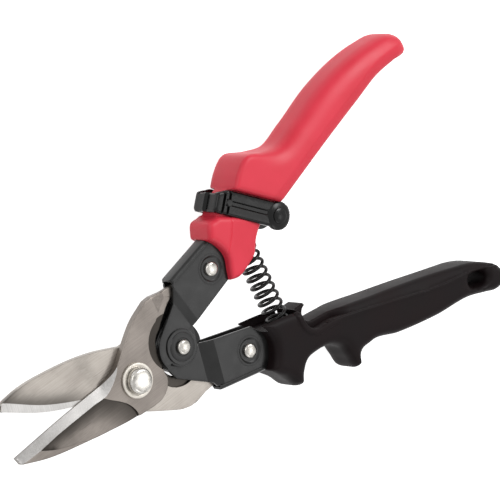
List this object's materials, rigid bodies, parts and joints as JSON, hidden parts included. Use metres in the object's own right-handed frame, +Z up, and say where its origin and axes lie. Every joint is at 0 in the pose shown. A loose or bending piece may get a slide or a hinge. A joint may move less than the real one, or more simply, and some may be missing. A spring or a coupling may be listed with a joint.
{
  "type": "aviation snips",
  "caption": "Compound-leverage aviation snips, sprung open: crossed steel blades on a bolt, pressed channel handles on rivets, moulded grips, coil return spring and a swinging latch loop.",
  "frame": {"origin": "on the main pivot's axis, at the flat end of its bolt, in the plane the tool lies on", "axes": "+X along the linkage axis from the main pivot to the centre rivet and on to the grips, +Y to the upper (red) grip, +Z up through the pivot, out of the flange washer's face"},
  "size_m": [0.2396, 0.1231, 0.0204],
  "materials": {
    "blade_steel": "satin, ground bevels along the cutting edges",
    "plated_steel": "bright plated",
    "frame_steel": "black oxide, satin",
    "red_grip": "moulded, semi-gloss",
    "black_grip": "moulded, fine grain",
    "latch_steel": "black, glossy",
    "spring_steel": "black oxide"
  },
  "bodies": {
    "lower_handle": {"lower_frame": "frame_steel", "lower_grip": "black_grip", "lower_spring_seat": "frame_steel", "lower_tang_rivet": "plated_steel", "lower_tang_bush": "plated_steel", "center_rivet": "plated_steel", "center_front_disc": "frame_steel", "center_back_disc": "frame_steel", "center_front_spacer": "frame_steel", "center_back_spacer": "frame_steel", "spring": "spring_steel"},
    "upper_handle": {"upper_frame": "frame_steel", "upper_grip": "red_grip", "upper_spring_seat": "frame_steel", "upper_tang_rivet": "plated_steel", "upper_tang_bush": "plated_steel", "latch_pin": "latch_steel"},
    "near_blade": {"lower_blade": "blade_steel", "pivot_bolt": "plated_steel", "pivot_flange_washer": "plated_steel", "pivot_back_washer": "plated_steel", "pivot_nut": "plated_steel"},
    "far_blade": {"upper_blade": "blade_steel"},
    "latch_loop": {"latch": "latch_steel", "latch_bar": "latch_steel"}
  },
  "joints": [
    {"name": "handle_pivot", "type": "hinge", "parent": "lower_handle", "child": "upper_handle", "pos_m": [0.0243, 0, 0.0102], "axis": [0, 0, 1], "range_deg": [-36, 0], "stiffness_Nm_per_rad": 1.5, "springref_deg": 20.05, "deforming": ["spring"]},
    {"name": "upper_tang_pivot", "type": "hinge", "parent": "upper_handle", "child": "near_blade", "pos_m": [0.0514, 0.0191, 0.0102], "axis": [0, 0, 1], "range_deg": [0, 8]},
    {"name": "lower_tang_pivot", "type": "hinge", "parent": "lower_handle", "child": "far_blade", "pos_m": [0.0514, -0.0191, 0.0102], "axis": [0, 0, 1], "range_deg": [-8, 0]},
    {"name": "latch_swing", "type": "hinge", "parent": "upper_handle", "child": "latch_loop", "pos_m": [0.06956, 0.03859, 0.0102], "axis": [0, 0, 1], "range_deg": [-12, 0]}
  ],
  "couplings": [
    {"joint": "upper_tang_pivot", "follows": "handle_pivot", "ratio": -0.2197},
    {"joint": "lower_tang_pivot", "follows": "handle_pivot", "ratio": 0.2197}
  ]
}
